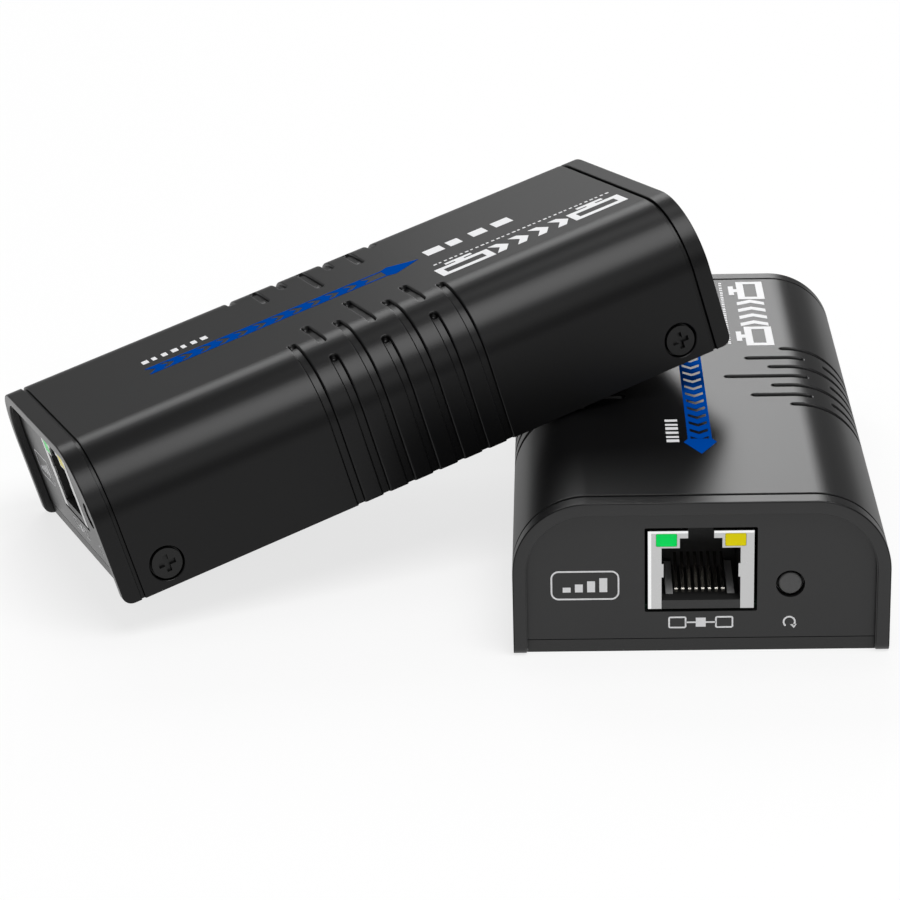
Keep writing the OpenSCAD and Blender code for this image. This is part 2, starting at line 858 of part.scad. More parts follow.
// Side view of one contact: a foot in the trough, a bend at the front and a rising spring
module contact_profile() {
    floor_z = mouth_lip_h / 2;
    bend_z = floor_z + contact_bend_r;
    slope = atan2(contact_rise - bend_z - contact_bend_r, contact_back - contact_front);
    spring_l = (contact_back - contact_front) / cos(slope);
    // Foot
    translate([contact_front, floor_z])
        square([mouth_depth - contact_front, contact_t]);
    // Bend
    translate([contact_front, bend_z])
        difference() {
            circle(contact_bend_r);
            circle(contact_bend_r - contact_t);
            rotate(slope - 90)
                translate([0, -2 * contact_bend_r])
                    square([2 * contact_bend_r, 3 * contact_bend_r]);
        }
    // Spring
    translate([contact_front, bend_z])
        rotate(slope)
            translate([0, contact_bend_r - contact_t])
                square([spring_l, contact_t]);
}

module lan_contacts() {
    color("goldenrod")
        at_network_end()
            for (i = [0 : contact_count - 1])
                translate([(i - (contact_count - 1) / 2) * contact_pitch, 0, 0])
                    along_x(contact_w)
                        contact_profile();
}

module window_block(side) {
    at_network_end()
        translate([0, window_l / 2, 0])
            along_y(window_l)
                window_outline(side, 0);
}

module green_light() {
    color("#00c853")
        window_block(-1);
}

module yellow_light() {
    color("#d4c400")
        window_block(1);
}

// Reset switch, drawn with the panel's face at Y 0 and the board's top at Z 0

switch_front_y = panel_t + switch_setback + sheet_t;
stem_hold_l = switch_depth / 2;

module reset_button() {
    stem_l = switch_front_y - stem_inset + stem_hold_l - 2 * stem_travel;
    color("#333333")
        at_network_end()
            translate([reset_x, stem_inset, reset_z])
                rotate([-90, 0, 0])
                    rotate_extrude() {
                        square([stem_d / 2 - stem_tip_r, stem_l]);
                        translate([0, stem_tip_r])
                            square([stem_d / 2, stem_l - stem_tip_r]);
                        translate([stem_d / 2 - stem_tip_r, stem_tip_r])
                            circle(stem_tip_r);
                    }
}

module reset_switch() {
    color("#151515")
        at_network_end()
            translate([reset_x, switch_front_y, 0])
                difference() {
                    translate([-switch_w / 2, 0, 0])
                        cube([switch_w, switch_depth, switch_h]);
                    translate([0, -overrun, reset_z])
                        inward_cylinder(stem_d + 2 * stem_gap, stem_hold_l + overrun);
                }
}

module reset_cover() {
    cover_half_w = switch_w / 2 + sheet_t + seat_gap;
    color("silver")
        at_network_end()
            translate([reset_x, switch_front_y - sheet_t - seat_gap, 0])
                difference() {
                    translate([-cover_half_w, 0, 0])
                        cube([2 * cover_half_w, switch_depth, switch_h]);
                    translate([-switch_w / 2 - seat_gap, sheet_t, -overrun])
                        cube([switch_w + 2 * seat_gap, switch_depth, switch_h + 2 * overrun]);
                    translate([0, -overrun, reset_z])
                        inward_cylinder(stem_hole_d, sheet_t + 2 * overrun);
                }
}

// HDMI socket, drawn with its face at Y 0 and the board's top at Z 0

// Outline in X and Z of the opening, grown by a wall: straight above, slanted lower corners
module hdmi_outline(wall) {
    half_w = hdmi_mouth_w / 2 + wall;
    low = hdmi_floor_z - wall;
    high = hdmi_floor_z + hdmi_mouth_h + wall;
    polygon([
        [-half_w, high],
        [-half_w, low + hdmi_slant_h],
        [-half_w + hdmi_slant_w, low],
        [half_w - hdmi_slant_w, low],
        [half_w, low + hdmi_slant_h],
        [half_w, high]
    ]);
}

module hdmi_shell() {
    foot_x = hdmi_mouth_w / 2 + sheet_t;
    color("silver")
        at_hdmi_end() {
            translate([0, hdmi_l / 2, 0])
                along_y(hdmi_l)
                    difference() {
                        hdmi_outline(sheet_t);
                        hdmi_outline(0);
                    }
            for (side = [-1, 1], y = [hdmi_l / 3, hdmi_l - 2 * shield_leg_w])
                translate([side * (foot_x - sheet_t / 2) - sheet_t / 2, y, 0])
                    cube([sheet_t, shield_leg_w, hdmi_floor_z + hdmi_slant_h]);
        }
}

module hdmi_tongue() {
    color("#101010")
        at_hdmi_end() {
            translate([0, hdmi_l - hdmi_block_l / 2, 0])
                along_y(hdmi_block_l)
                    hdmi_outline(-seat_gap);
            translate([-tongue_w / 2, tongue_setback, hdmi_floor_z + tongue_z])
                cube([tongue_w, hdmi_l - hdmi_block_l - tongue_setback + seat_gap, tongue_t]);
        }
}

module hdmi_contacts() {
    contact_l = hdmi_l - hdmi_block_l - 2 * tongue_setback;
    color("goldenrod")
        at_hdmi_end()
            translate([0, 2 * tongue_setback, hdmi_floor_z + tongue_z])
                for (row = [0, 1], i = [0 : hdmi_contact_count - 1 - row])
                    translate([
                        (i - (hdmi_contact_count - 1 - row) / 2) * hdmi_contact_pitch - hdmi_contact_w / 2,
                        0,
                        row == 0 ? tongue_t : -hdmi_contact_t
                    ])
                        cube([hdmi_contact_w, contact_l, hdmi_contact_t]);
}

// Other sockets and the light at the HDMI end

module infrared_socket() {
    color("#151515")
        at_hdmi_end()
            translate([infrared_x, 0, infrared_w / 2])
                difference() {
                    union() {
                        inward_cylinder(infrared_nose_d, panel_t + 2 * panel_gap);
                        translate([-infrared_w / 2, panel_t + panel_gap, -infrared_w / 2])
                            cube([infrared_w, infrared_l, infrared_w]);
                    }
                    translate([0, -overrun, 0])
                        inward_cylinder(infrared_bore_d, infrared_bore_l + overrun);
                }
}

module power_socket() {
    color("#151515")
        at_hdmi_end()
            translate([-power_x, panel_t + panel_gap, 0])
                difference() {
                    translate([-power_w / 2, 0, 0])
                        cube([power_w, power_l, power_h]);
                    translate([0, -overrun, power_axis_z])
                        inward_cylinder(power_bore_d, power_bore_l + overrun);
                }
}

module power_pin() {
    pin_l = power_bore_l - power_pin_setback - power_pin_d / 2;
    color("silver")
        at_hdmi_end()
            translate([-power_x, panel_t + panel_gap + power_bore_l, power_axis_z])
                rotate([90, 0, 0]) {
                    cylinder(d = power_pin_d, h = pin_l);
                    translate([0, 0, pin_l])
                        sphere(d = power_pin_d);
                }
}

module power_light() {
    body_l = panel_t + light_out + light_l - light_d / 2;
    color("#e8f4ff")
        at_hdmi_end()
            translate([light_x, panel_t + light_l, light_z]) {
                rotate([90, 0, 0]) {
                    cylinder(d = light_d, h = body_l);
                    translate([0, 0, body_l])
                        sphere(d = light_d);
                }
                for (side = [-1, 1])
                    translate([side * lead_pitch / 2 - lead_t / 2, 0, -light_z]) {
                        translate([0, -lead_t, light_z - lead_t / 2])
                            cube([lead_t, 3 * lead_t, lead_t]);
                        translate([0, lead_t, 0])
                            cube([lead_t, lead_t, light_z + lead_t / 2]);
                    }
            }
}

// Chips and coils on the board

module main_chip() {
    color("#202020")
        translate([-chip_w / 2, sink_y - chip_w / 2, board_top])
            cube([chip_w, chip_w, chip_t]);
}

module heat_sink() {
    fin_pitch = (sink_w - fin_t) / (fin_count - 1);
    color("#8a8d90")
        translate([-sink_w / 2, sink_y - sink_w / 2, board_top + chip_t]) {
            cube([sink_w, sink_w, sink_base_t]);
            for (i = [0 : fin_count - 1])
                translate([i * fin_pitch, 0, 0])
                    cube([fin_t, sink_w, sink_base_t + fin_h]);
        }
}

module memory_chips() {
    color("#202020")
        for (side = [-1, 1])
            translate([side * memory_pitch / 2 - memory_w / 2, memory_y - memory_l / 2, board_top])
                cube([memory_w, memory_l, memory_t]);
}

module line_transformer() {
    lead_w = transformer_lead_pitch / 2;
    color("#1a1a1a")
        translate([0, transformer_y, board_top]) {
            translate([-transformer_l / 2, -transformer_w / 2, 0])
                cube([transformer_l, transformer_w, transformer_h]);
            for (i = [0 : transformer_lead_count - 1])
                translate([
                    (i - (transformer_lead_count - 1) / 2) * transformer_lead_pitch - lead_w / 2,
                    -transformer_w / 2 - transformer_lead_out,
                    0
                ])
                    cube([lead_w, transformer_w + 2 * transformer_lead_out, lead_w / 2]);
        }
}

// Outline with two straight sides and two round ends, along Y
module stadium(l, w) {
    square([w, l - w], center = true);
    for (end = [-1, 1])
        translate([0, end * (l - w) / 2])
            circle(d = w);
}

module crystal() {
    color("silver")
        translate([-side_part_x, sink_y, board_top]) {
            linear_extrude(crystal_h)
                stadium(crystal_l, crystal_w);
            linear_extrude(crystal_rim_t)
                stadium(crystal_l + 2 * crystal_rim_w, crystal_w + 2 * crystal_rim_w);
        }
}

module capacitor() {
    translate([0, 0, board_top]) {
        translate([-capacitor_base_w / 2, -capacitor_base_w / 2, 0])
            cube([capacitor_base_w, capacitor_base_w, capacitor_base_t]);
        cylinder(d = capacitor_d, h = capacitor_h);
    }
}

module capacitors() {
    color("#b8bcc0")
        for (place = [-1, 0, 1])
            translate([side_part_x, sink_y + place * capacitor_pitch, 0])
                capacitor();
}

module power_choke() {
    color("#3a3a3a")
        translate([-side_part_x, choke_y, board_top]) {
            translate([-choke_w / 2, -choke_w / 2, 0])
                cube([choke_w, choke_w, choke_base_t]);
            cylinder(d = choke_w, h = choke_h);
        }
}

// The sender

top_shell();  // sender_top_shell
bottom_plate();  // sender_bottom_plate
lan_panel();  // sender_lan_panel
hdmi_panel();  // sender_hdmi_panel
side_screws();  // sender_side_screws
circuit_board();  // sender_circuit_board
board_screws();  // sender_board_screws
lan_shield();  // sender_lan_shield
lan_housing();  // sender_lan_housing
lan_contacts();  // sender_lan_contacts
green_light();  // sender_green_light
yellow_light();  // sender_yellow_light
reset_button();  // sender_reset_button
reset_switch();  // sender_reset_switch
reset_cover();  // sender_reset_cover
hdmi_shell();  // sender_hdmi_shell
hdmi_tongue();  // sender_hdmi_tongue
hdmi_contacts();  // sender_hdmi_contacts
infrared_socket();  // sender_infrared_socket
power_socket();  // sender_power_socket
power_pin();  // sender_power_pin
power_light();  // sender_power_light
main_chip();  // sender_main_chip
heat_sink();  // sender_heat_sink
memory_chips();  // sender_memory_chips
line_transformer();  // sender_line_transformer
crystal();  // sender_crystal
capacitors();  // sender_capacitors
power_choke();  // sender_power_choke

// The receiver

leaning() top_shell();  // receiver_top_shell
leaning() bottom_plate();  // receiver_bottom_plate
leaning() lan_panel();  // receiver_lan_panel
leaning() hdmi_panel();  // receiver_hdmi_panel
leaning() side_screws();  // receiver_side_screws
leaning() circuit_board();  // receiver_circuit_board
leaning() board_screws();  // receiver_board_screws
leaning() lan_shield();  // receiver_lan_shield
leaning() lan_housing();  // receiver_lan_housing
leaning() lan_contacts();  // receiver_lan_contacts
leaning() green_light();  // receiver_green_light
leaning() yellow_light();  // receiver_yellow_light
leaning() reset_button();  // receiver_reset_button
leaning() reset_switch();  // receiver_reset_switch
leaning() reset_cover();  // receiver_reset_cover
leaning() hdmi_shell();  // receiver_hdmi_shell
leaning() hdmi_tongue();  // receiver_hdmi_tongue
leaning() hdmi_contacts();  // receiver_hdmi_contacts
leaning() infrared_socket();  // receiver_infrared_socket
leaning() power_socket();  // receiver_power_socket
leaning() power_pin();  // receiver_power_pin
leaning() power_light();  // receiver_power_light
leaning() main_chip();  // receiver_main_chip
leaning() heat_sink();  // receiver_heat_sink
leaning() memory_chips();  // receiver_memory_chips
leaning() line_transformer();  // receiver_line_transformer
leaning() crystal();  // receiver_crystal
leaning() capacitors();  // receiver_capacitors
leaning() power_choke();  // receiver_power_choke
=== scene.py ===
import json
import math

import bpy
import numpy as np
from mathutils import Matrix, Vector


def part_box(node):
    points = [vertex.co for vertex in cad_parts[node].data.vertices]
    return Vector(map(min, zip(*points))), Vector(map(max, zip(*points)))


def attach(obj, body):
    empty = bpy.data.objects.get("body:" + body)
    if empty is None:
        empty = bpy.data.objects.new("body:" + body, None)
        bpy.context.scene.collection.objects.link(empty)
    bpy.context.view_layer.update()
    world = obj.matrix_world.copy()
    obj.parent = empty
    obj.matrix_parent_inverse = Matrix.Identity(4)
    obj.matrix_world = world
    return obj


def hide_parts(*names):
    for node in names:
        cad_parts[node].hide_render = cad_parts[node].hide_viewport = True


# Looks of a video extender kit: a sender box that lies flat and a matching receiver box that
# leans on it. Every new piece is worked out once in millimetres, about the middle of the
# underside of a box, with the network end towards -Y, and is then carried to each of the boxes.

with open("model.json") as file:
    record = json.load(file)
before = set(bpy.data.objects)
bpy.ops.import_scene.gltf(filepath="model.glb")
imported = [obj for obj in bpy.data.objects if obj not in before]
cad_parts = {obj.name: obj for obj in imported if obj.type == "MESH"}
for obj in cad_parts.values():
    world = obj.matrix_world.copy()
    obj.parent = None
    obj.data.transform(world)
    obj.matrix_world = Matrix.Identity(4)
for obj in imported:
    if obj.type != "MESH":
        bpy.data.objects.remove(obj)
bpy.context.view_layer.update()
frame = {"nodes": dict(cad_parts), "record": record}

MM = 0.001
BOXES = ("sender", "receiver")

# Housing
HALF_W = 28.5
HALF_L = 54.0
HEIGHT = 25.0
SHOULDER_R = 11.5
WALL = 2.0
LEG_CORNER_R = 1.5
FLAT_HALF_W = HALF_W - SHOULDER_R
LEG_H = HEIGHT - SHOULDER_R
ARC_L = SHOULDER_R * math.pi / 2
SIDE_L = FLAT_HALF_W + ARC_L + LEG_H

# Seam lines, grooves and the rings round the side screws. A groove's reach is how far it runs
# onto the flat top. A broken groove stops and starts again at angles up the shoulder's arc.
SEAM_Y = HALF_L - 3.1
SEAM_HALF_W = 0.3
SEAM_DEPTH = 0.5
GROOVE_PITCH = 4.4
GROOVE_HALF_W = 0.65
GROOVE_DEPTH = 0.5
GROOVE_REACHES = (0.6, 6.7, 3.1, 10.6, 3.1, 6.7, 0.6)
GROOVE_BREAK = math.radians(74)
GROOVE_RESUME = math.radians(57)
GROOVE_MIDDLE_RESUME = math.radians(54)
GROOVE_MIDDLE = len(GROOVE_REACHES) // 2
RING_R = 2.75
RING_DEPTH = 1.02
RING_Y = HALF_L - 8.4
RING_SIDE = SIDE_L - 3.9

# How far an edge rolls outside its wall and how far inside the wall its foot lies, for grooves
# and rings and then for seams
LIP_OUT = 0.24
FOOT_IN = 0.12
SEAM_LIP_OUT = 0.12
SEAM_FOOT_IN = 0.05

# The dimple at the start of each length of a groove, deeper than the groove
DIMPLE_R = 0.42
DIMPLE_DEPTH = 0.35

# The rounding of the rim's outer and inner edges
RIM_R = 0.18
LIP_R = 0.15

# End panels and the slot in the wall that holds them
PANEL_Y = HALF_L - 1.5
PANEL_T = 1.2
PANEL_SLOT = 1.2
PANEL_GAP = 0.12

# Near the foot the slot is filled: it ends between two places on the outline, and past them its
# depth is the wall's thickness less a rest
SLOT_END = SIDE_L - 2.1
SLOT_FILLED = SLOT_END + 0.05
SLOT_REST = 0.02

# Depth of the wall's inner face, which closes the gap to the plate. At the rim a lip keeps the
# wall's thickness for a length, and a short step leads from it to the inner face.
INNER = 2.14
LIP_L = 0.45
LIP_STEP = 0.05

# Lines of the housing's mesh, as distances from the start of a groove, the middle of a groove,
# the middle of a seam and the middle of a ring. They lie close together where the surface bends.
TIP_LINES = (-0.33, -0.24, -0.16, -0.09, -0.03, 0.03, 0.08, 0.12, 0.25, 0.4, 0.58, 0.8, 1.05)
WALL_LINES = (0.16, 0.34, 0.47, 0.53, 0.58, 0.63, 0.68, 0.74, 0.81, 0.89, 0.98)
SEAM_LINES = (0.18, 0.25, 0.28, 0.31, 0.34, 0.38, 0.42, 0.5)
RING_LINES = (
    0, 0.4, 0.8, 1.2, 1.6, 2.0, 2.4, 2.55, 2.63, 2.68, 2.73, 2.78, 2.84, 2.91, 2.99, 3.08, 3.5
)

# Numbers of lines over a shoulder, a leg's lower corner and a rim's rounding, and how far before
# the rim's rounding a line keeps the outer face flat
SHOULDER_LINES = 31
CORNER_LINES = 6
RIM_LINES = 4
RIM_SUPPORT = 0.1

# Lines across the housing are dropped where they lie closer than this, and wider gaps than the
# widest are divided
CLOSEST = 0.012
WIDEST_ACROSS = 3.0
WIDEST_ALONG = 5.0

# Network socket: its mouth and base are those of the CAD
JACK_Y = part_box("sender_lan_shield")[0][1] / MM
JACK_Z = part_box("sender_lan_housing")[0][2] / MM
JACK_HALF_W = 8.0
JACK_H = 12.8

# Printed marks: thickness of the ink, stroke of the fine marks on the end panels, half the
# thickness of the lines that join them, how far a chevron's point runs ahead of its sides, and
# where along the box the ink on each end panel starts
INK = 0.03
STROKE = 0.25
LINE_HALF_T = 0.12
CHEVRON_POINT = 1.3
NETWORK_END = -PANEL_Y - INK
VIDEO_END = PANEL_Y


# Motion from the sender to the receiver

def twin_motion():
    """Turn and shift that carry the sender onto the receiver: the best rigid fit (by singular
    values) from the sender's mounts to the receiver's."""
    places = {m["name"]: np.array(m["pos_m"], float) for m in frame["record"]["mounts"]}
    kinds = ("infrared", "power", "network", "hdmi")
    here = np.array([places["sender_" + kind] for kind in kinds])
    there = np.array([places["receiver_" + kind] for kind in kinds])
    left, _, right = np.linalg.svd((here - here.mean(0)).T @ (there - there.mean(0)))
    flip = np.diag([1, 1, np.sign(np.linalg.det(right.T @ left.T))])
    turn = right.T @ flip @ left.T
    return turn, there.mean(0) - turn @ here.mean(0)


MOTION = {"sender": (np.eye(3), np.zeros(3)), "receiver": twin_motion()}


# Meshes

def place(box, name, points, faces, material, sharp):
    """A piece from points in millimetres about a box, carried to that box and riding on it.
    Its edges are sharp where they bend by more than an angle in degrees."""
    turn, shift = MOTION[box]
    mesh = bpy.data.meshes.new(f"{box}_{name}")
    mesh.from_pydata((points * MM @ turn.T + shift).tolist(), [], faces)
    mesh.update()
    mesh.polygons.foreach_set("use_smooth", np.ones(len(mesh.polygons), bool))
    mesh.set_sharp_from_angle(angle=math.radians(sharp))
    piece = bpy.data.objects.new(f"{box}_{name}", mesh)
    bpy.context.scene.collection.objects.link(piece)
    mesh.materials.append(material)
    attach(piece, box)
    return piece


def spaced(keys, widest):
    """The sorted keys with even steps put in, so that no gap is wider than the widest."""
    keys = sorted(set(round(float(key), 4) for key in keys))
    parts = [
        np.linspace(low, high, max(1, math.ceil((high - low) / widest)) + 1)[:-1]
        for low, high in zip(keys, keys[1:])
    ]
    return np.concatenate(parts + [[keys[-1]]])


def both_ways(middle, steps):
    """Places at the given steps on both sides of a middle."""
    return [middle + sign * step for step in steps for sign in (-1, 1)]


def ease(x):
    """0 below 0, 1 above 1 and the cubic 3x^2 - 2x^3 between."""
    x = np.clip(x, 0, 1)
    return x * x * (3 - 2 * x)


# Top shell

def groove_y(i):
    """Middle of groove i along the box."""
    return (i - GROOVE_MIDDLE) * GROOVE_PITCH


def groove_spans(i):
    """Start and end of each length of groove i, along the outline from the middle of the top.
    Every other groove is broken where it crosses the shoulder."""
    start = FLAT_HALF_W - GROOVE_REACHES[i]
    end = SIDE_L + GROOVE_DEPTH
    if i % 2 == 0:
        return [(start, end)]
    resume = GROOVE_MIDDLE_RESUME if i == GROOVE_MIDDLE else GROOVE_RESUME
    pause, again = [
        FLAT_HALF_W + SHOULDER_R * (math.pi / 2 - angle) for angle in (GROOVE_BREAK, resume)
    ]
    return [(start, pause), (again, end)]


def shell_outline(s):
    """Point (x, z) and outward normal on the outline at s, which runs from the left foot over
    the top to the right foot and is 0 in the middle: flat, then an arc, then a straight leg."""
    away = np.minimum(np.abs(s), SIDE_L)
    side = np.where(s < 0, -1.0, 1.0)
    angle = np.clip((away - FLAT_HALF_W) / SHOULDER_R, 0, math.pi / 2)
    x = np.minimum(away, FLAT_HALF_W) + SHOULDER_R * np.sin(angle)
    z = LEG_H + SHOULDER_R * np.cos(angle) - np.maximum(away - FLAT_HALF_W - ARC_L, 0)
    return side * x, z, side * np.sin(angle), np.cos(angle)


def across_lines():
    """Places along the whole outline, close together where grooves and rings begin or end."""
    keys = [0, FLAT_HALF_W, FLAT_HALF_W + ARC_L, SLOT_END, SLOT_FILLED, SIDE_L]
    corner = np.linspace(0, math.pi / 2, CORNER_LINES + 1)[1:]
    keys += [SIDE_L - LEG_CORNER_R * (1 - math.cos(angle)) for angle in corner]
    for i in range(GROOVE_MIDDLE + 1):
        for start, end in groove_spans(i):
            keys += [start + step for step in TIP_LINES]
            keys += [end - step for step in TIP_LINES if end < SIDE_L]
    keys += both_ways(RING_SIDE, RING_LINES)
    keys += np.linspace(FLAT_HALF_W, FLAT_HALF_W + ARC_L, SHOULDER_LINES).tolist()
    keys = np.array(sorted(keys))
    apart = np.append(True, np.diff(keys) > CLOSEST)
    half = spaced(keys[apart], WIDEST_ACROSS)
    return np.concatenate([-half[::-1], half[1:]])


def along_lines():
    """Places along the box, close together at the seams, the rings and the grooves' walls."""
    rim = HALF_L - RIM_R
    keys = [0] + both_ways(0, (rim - RIM_SUPPORT, rim))
    for i in range(len(GROOVE_REACHES)):
        keys += both_ways(groove_y(i), WALL_LINES)
    for end in (-1, 1):
        keys += both_ways(end * SEAM_Y, SEAM_LINES)
        keys += both_ways(end * RING_Y, RING_LINES)
    return spaced(keys, WIDEST_ALONG)


def stations():
    """The closed loop round the wall's section lengthwise, as places along the box and depths
    below the outer face: outer face, rounded rim, rim face, inner face with a slot for each
    panel, and back. The second result is how many of them lie on the outer face."""
    outer = along_lines()
    bend = np.linspace(0, math.pi / 2, RIM_LINES + 1)[1:]
    rim = [
        (HALF_L - RIM_R + RIM_R * math.sin(angle), RIM_R - RIM_R * math.cos(angle))
        for angle in bend
    ]
    lip = [
        (HALF_L - LIP_R + LIP_R * math.cos(angle), WALL - LIP_R + LIP_R * math.sin(angle))
        for angle in bend
    ]
    slot_near = PANEL_Y + PANEL_GAP
    slot_far = PANEL_Y - PANEL_T - PANEL_GAP
    slot = [
        (HALF_L - LIP_L, WALL), (HALF_L - LIP_L - LIP_STEP, INNER),
        (slot_near, INNER), (slot_near, PANEL_SLOT),
        (slot_far, PANEL_SLOT), (slot_far, INNER),
    ]
    end = rim + [(HALF_L, WALL - LIP_R)] + lip + slot
    loop = [(y, 0.0) for y in outer] + end + [(-y, depth) for y, depth in end[::-1]]
    return np.array(loop), len(outer)


def rolled(gap, depth, out, inside):
    """Depth across an edge, where the gap is the distance outside its wall: it rolls off gently
    outside and ends steeply inside, as the cube of the share of the way across."""
    return depth * np.clip((out - gap) / (out + inside), 0, 1) ** 3


def shell_depth(s, y):
    """Depth below the outer face: the deepest of the seams, the grooves, which are capsules
    with rolled edges, and the rings, whose lines are square frames bent into circles. A dimple
    at each groove's start is full up to half its radius and fades out at one and a half."""
    seam_gap = np.abs(np.abs(y) - SEAM_Y) - SEAM_HALF_W
    depth = rolled(seam_gap, SEAM_DEPTH, SEAM_LIP_OUT, SEAM_FOOT_IN)
    away = np.abs(s)
    for i in range(len(GROOVE_REACHES)):
        beside = y - groove_y(i)
        for start, end in groove_spans(i):
            past = away - np.clip(away, start + GROOVE_HALF_W, end - GROOVE_HALF_W)
            gap = np.hypot(beside, past) - GROOVE_HALF_W
            depth = np.maximum(depth, rolled(gap, GROOVE_DEPTH, LIP_OUT, FOOT_IN))
            around = np.hypot(beside, away - start - GROOVE_HALF_W)
            depth = depth + DIMPLE_DEPTH * ease(1.5 - around / DIMPLE_R)
    square_r = np.maximum(np.abs(away - RING_SIDE), np.abs(np.abs(y) - RING_Y))
    return np.maximum(depth, rolled(square_r - RING_R, RING_DEPTH, LIP_OUT, FOOT_IN))


def round_rings(s, y):
    """Bends the square frames of lines round each side screw into circles: a point moves by the
    ratio of its square radius to its round radius, fading out towards the outermost frame."""
    off_s = np.abs(s) - RING_SIDE
    off_y = np.abs(y) - RING_Y
    square_r = np.maximum(np.abs(off_s), np.abs(off_y))
    round_r = np.maximum(np.hypot(off_s, off_y), 1e-9)
    share = ease((RING_LINES[-1] - square_r) / (RING_LINES[-1] - RING_LINES[-2]))
    grow = np.where(square_r < RING_LINES[-1], share * (square_r / round_r - 1), 0)
    return s + np.sign(s) * off_s * grow, y + np.sign(y) * off_y * grow


def round_leg_corners(y, z):
    """Rounds the legs' lower corners: near the foot the ends are pressed together, so that they
    follow a circle's height over its chord."""
    low = np.clip(LEG_CORNER_R - z, 0, LEG_CORNER_R)
    reach = HALF_L - LEG_CORNER_R + np.sqrt(LEG_CORNER_R**2 - low**2)
    hold = SEAM_Y + 2 * SEAM_HALF_W
    squeeze = (reach - hold) / (HALF_L - hold)
    pressed = np.sign(y) * (hold + (np.abs(y) - hold) * squeeze)
    return np.where(np.abs(y) > hold, pressed, y)


def shell_points(s, loop, outer_count):
    """The shell's grid of points: every station carried along every line of the outline, then
    pushed in along the normal by its depth."""
    across, along = np.meshgrid(s, loop[:, 0], indexing="ij")
    depth = np.broadcast_to(loop[:, 1], across.shape).copy()
    outer = np.arange(len(loop)) < outer_count
    depth[:, outer] = shell_depth(across, along)[:, outer]
    depth[(np.abs(across) >= SLOT_FILLED) & (loop[:, 1] == PANEL_SLOT)] = WALL - SLOT_REST
    bent_across, bent_along = round_rings(across, along)
    across[:, outer] = bent_across[:, outer]
    along[:, outer] = bent_along[:, outer]
    x, z, normal_x, normal_z = shell_outline(across)
    x = x - normal_x * depth
    z = z - normal_z * depth
    return np.stack([x, round_leg_corners(along, z), z], -1)


def closed_grid_faces(rows, columns):
    """Quads of a grid whose columns close into a ring, with a flat cap on its two end rows. They
    face outwards on a ring that runs clockwise as seen from its first row."""
    row = np.arange(rows - 1)[:, None] * columns
    column = np.arange(columns)[None, :]
    after = (column + 1) % columns
    quads = [row + column, row + columns + column, row + columns + after, row + after]
    first = list(range(columns))
    last = [(rows - 1) * columns + c for c in first]
    return np.stack(quads, -1).reshape(-1, 4).tolist() + [first, last[::-1]]


def housing(box, material, rim_material):
    """The inverted-U housing with its grooves, seams, rings and rounded rims. The faces past the
    rims' roundings take the second material."""
    s = across_lines()
    loop, outer_count = stations()
    columns = len(loop)
    points = shell_points(s, loop, outer_count).reshape(-1, 3)
    faces = closed_grid_faces(len(s), columns)
    piece = place(box, "housing", points, faces, material, sharp=35)
    piece.data.materials.append(rim_material)
    column = np.tile(np.arange(columns), len(s) - 1)
    past_rim = (column >= outer_count + RIM_LINES - 1) & (column < columns - RIM_LINES)
    of_faces = np.append(past_rim, [False, False]).astype(np.int32)
    piece.data.polygons.foreach_set("material_index", of_faces)
    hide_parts(box + "_top_shell")
    return piece


# Printed marks: each is a list of flat outlines in millimetres

def prism(outline, low, high, plane):
    """A flat outline given thickness, after one that runs clockwise is turned round. On the top
    its points are (x, y) and its depth is z, and on an end panel they are (x, z) and its depth
    is y."""
    outline = np.array(outline, float)
    x, y = outline.T
    if (x * np.roll(y, -1) - y * np.roll(x, -1)).sum() < 0:
        outline = outline[::-1]
    count = len(outline)
    both = np.concatenate([outline, outline])
    level = np.repeat([low, high], count)
    points = np.column_stack([both, level])
    ring = np.arange(count)
    after = (ring + 1) % count
    sides = np.stack([ring, after, after + count, ring + count], -1).tolist()
    faces = sides + [list(range(count))[::-1], list(range(count, 2 * count))]
    if plane == "end":
        points = points[:, [0, 2, 1]]
        faces = [face[::-1] for face in faces]
    return points, faces


def printed(box, name, outlines, material, plane="top", level=HEIGHT):
    """Many flat outlines as one thin piece."""
    points = []
    faces = []
    count = 0
    for outline in outlines:
        new_points, new_faces = prism(outline, level, level + INK, plane)
        points.append(new_points)
        faces += [[corner + count for corner in face] for face in new_faces]
        count += len(new_points)
    return place(box, name, np.concatenate(points), faces, material, sharp=20)


def bar(x0, y0, x1, y1):
    """A rectangle between two corners."""
    return [(x0, y0), (x1, y0), (x1, y1), (x0, y1)]


def block(x, y, half_w, half_h):
    """A rectangle about its middle."""
    return bar(x - half_w, y - half_h, x + half_w, y + half_h)


def chevron(x, y, half, solid, point):
    """A solid chevron from a back edge at y to a front edge a solid length further. Both edges
    run ahead by the point in their middle, and the two lengths' sign is the way it points."""
    end = y + solid
    return [
        (x - half, y), (x, y + point), (x + half, y),
        (x + half, end), (x, end + point), (x - half, end),
    ]


def ring_sector(x, y, r, width, start, end, steps):
    """Part of a ring, from a start to an end angle in degrees: an arc half a width outside the
    radius r, and back along an arc half a width inside it."""
    angles = np.radians(np.linspace(start, end, steps))
    outer = r + width / 2
    inner = r - width / 2
    rim = [(x + outer * math.cos(a), y + outer * math.sin(a)) for a in angles]
    return rim + [(x + inner * math.cos(a), y + inner * math.sin(a)) for a in angles[::-1]]


